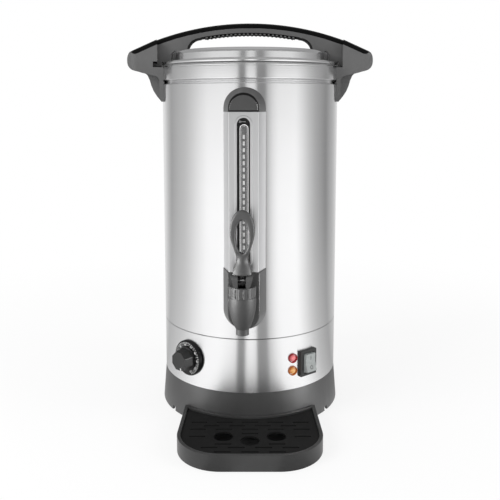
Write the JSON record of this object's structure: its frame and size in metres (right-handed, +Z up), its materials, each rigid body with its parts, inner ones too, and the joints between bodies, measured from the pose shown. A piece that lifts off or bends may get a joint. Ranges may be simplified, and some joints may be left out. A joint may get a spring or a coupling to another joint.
{
  "type": "hot water urn",
  "caption": "Stainless hot water urn with a lock-on lid, arched lid handle, carrying handles, sight gauge, loop-lever tap, thermostat knob, pilot lamps, rocker switch and drip tray.",
  "frame": {"origin": "on the floor, on the axis of the tank", "axes": "+Z up along the tank, -Y towards the tap, +X to the right seen from the tap"},
  "size_m": [0.3036, 0.335, 0.48],
  "materials": {
    "dark_plastic": "fine satin texture, dark grey",
    "tray_plastic": "satin, dark grey",
    "grille_plastic": "satin, charcoal",
    "tap_plastic": "satin, dark grey",
    "black_plastic": "glossy black",
    "switch_plastic": "satin black",
    "rocker_plastic": "translucent, pale grey-green",
    "red_lens": "translucent red",
    "amber_lens": "translucent amber",
    "stainless": "satin stainless steel",
    "zinc_steel": "zinc plated",
    "spring_steel": "drawn wire",
    "aluminium": "cast",
    "element_sheath": "oxidised",
    "copper": "bare copper",
    "phenolic": "moulded, brown-black",
    "terminal_plastic": "ivory",
    "lead_sleeve": "PVC sleeve",
    "glass": "clear tube",
    "silicone": "red-brown silicone",
    "grey_silicone": "grey silicone",
    "black_rubber": "matt"
  },
  "bodies": {
    "urn": {"base_ring": "dark_plastic", "base_plate": "zinc_steel", "feet": "black_rubber", "base_screws": "zinc_steel", "tie_studs": "zinc_steel", "tie_nuts": "zinc_steel", "control_band": "stainless", "tank": "stainless", "heater_disc": "aluminium", "heater_element": "element_sheath", "dry_cutout": "phenolic", "thermostat": "phenolic", "thermostat_bulb": "copper", "dial_plate": "black_plastic", "terminal_block": "terminal_plastic", "wiring": "lead_sleeve", "cord_gland": "switch_plastic", "lamp_red": "red_lens", "lamp_amber": "amber_lens", "lamp_holders": "switch_plastic", "switch_frame": "switch_plastic", "left_handle": "dark_plastic", "right_handle": "dark_plastic", "handle_screws": "zinc_steel", "gauge_cover": "stainless", "gauge_cap": "dark_plastic", "gauge_tube": "glass", "gauge_backing": "switch_plastic", "gauge_seals": "silicone", "gauge_screw": "zinc_steel", "tap_housing": "dark_plastic", "tap_body": "tap_plastic", "tap_bonnet": "tap_plastic", "lever_pin": "zinc_steel", "tap_nut": "zinc_steel", "tap_washers": "silicone"},
    "lever": {"tap_lever": "tap_plastic", "link_pin": "zinc_steel"},
    "valve": {"valve_stem": "zinc_steel", "seat_cup": "silicone", "valve_spring": "spring_steel"},
    "dial": {"knob": "dark_plastic", "thermostat_shaft": "zinc_steel"},
    "switch": {"rocker": "rocker_plastic"},
    "lid_seal": {"lid_gasket": "grey_silicone"},
    "lid": {"lid_pan": "stainless", "lid_handle": "dark_plastic", "handle_grip": "switch_plastic", "lid_screws": "zinc_steel", "vent_cap": "switch_plastic"},
    "tray": {"drip_tray": "tray_plastic"},
    "grille": {"drip_grille": "grille_plastic"}
  },
  "joints": [
    {"name": "lever_pull", "type": "hinge", "parent": "urn", "child": "lever", "pos_m": [-0.00857, -0.15326, 0.1913], "axis": [0.9984, -0.0558, 0], "range_deg": [0, 30], "stiffness_Nm_per_rad": 0.25, "springref_deg": -5.73},
    {"name": "valve_lift", "type": "slide", "parent": "urn", "child": "valve", "axis": [0, 0, 1], "range_m": [0, 0.003], "deforming": ["valve_spring"]},
    {"name": "dial_turn", "type": "hinge", "parent": "urn", "child": "dial", "pos_m": [-0.07289, -0.08238, 0.0775], "axis": [-0.6626, -0.749, 0], "range_deg": [0, 270]},
    {"name": "rocker_tilt", "type": "hinge", "parent": "urn", "child": "switch", "pos_m": [0.06818, -0.08632, 0.0736], "axis": [0.7848, 0.6198, 0], "range_deg": [0, 16]},
    {"name": "lid_lift", "type": "slide", "parent": "urn", "child": "lid_seal", "axis": [0, 0, 1], "range_m": [0, 0.12]},
    {"name": "lid_turn", "type": "hinge", "parent": "lid_seal", "child": "lid", "pos_m": [0, 0, 0.44], "axis": [0, 0, 1], "range_deg": [-12, 0]},
    {"name": "tray_pull", "type": "slide", "parent": "urn", "child": "tray", "axis": [0, -1, 0], "range_m": [0, 0.1]},
    {"name": "grille_lift", "type": "slide", "parent": "tray", "child": "grille", "axis": [0, 0, 1], "range_m": [0, 0.036]}
  ],
  "couplings": [
    {"joint": "valve_lift", "follows": "lever_pull", "m_per_rad": 0.0057}
  ]
}
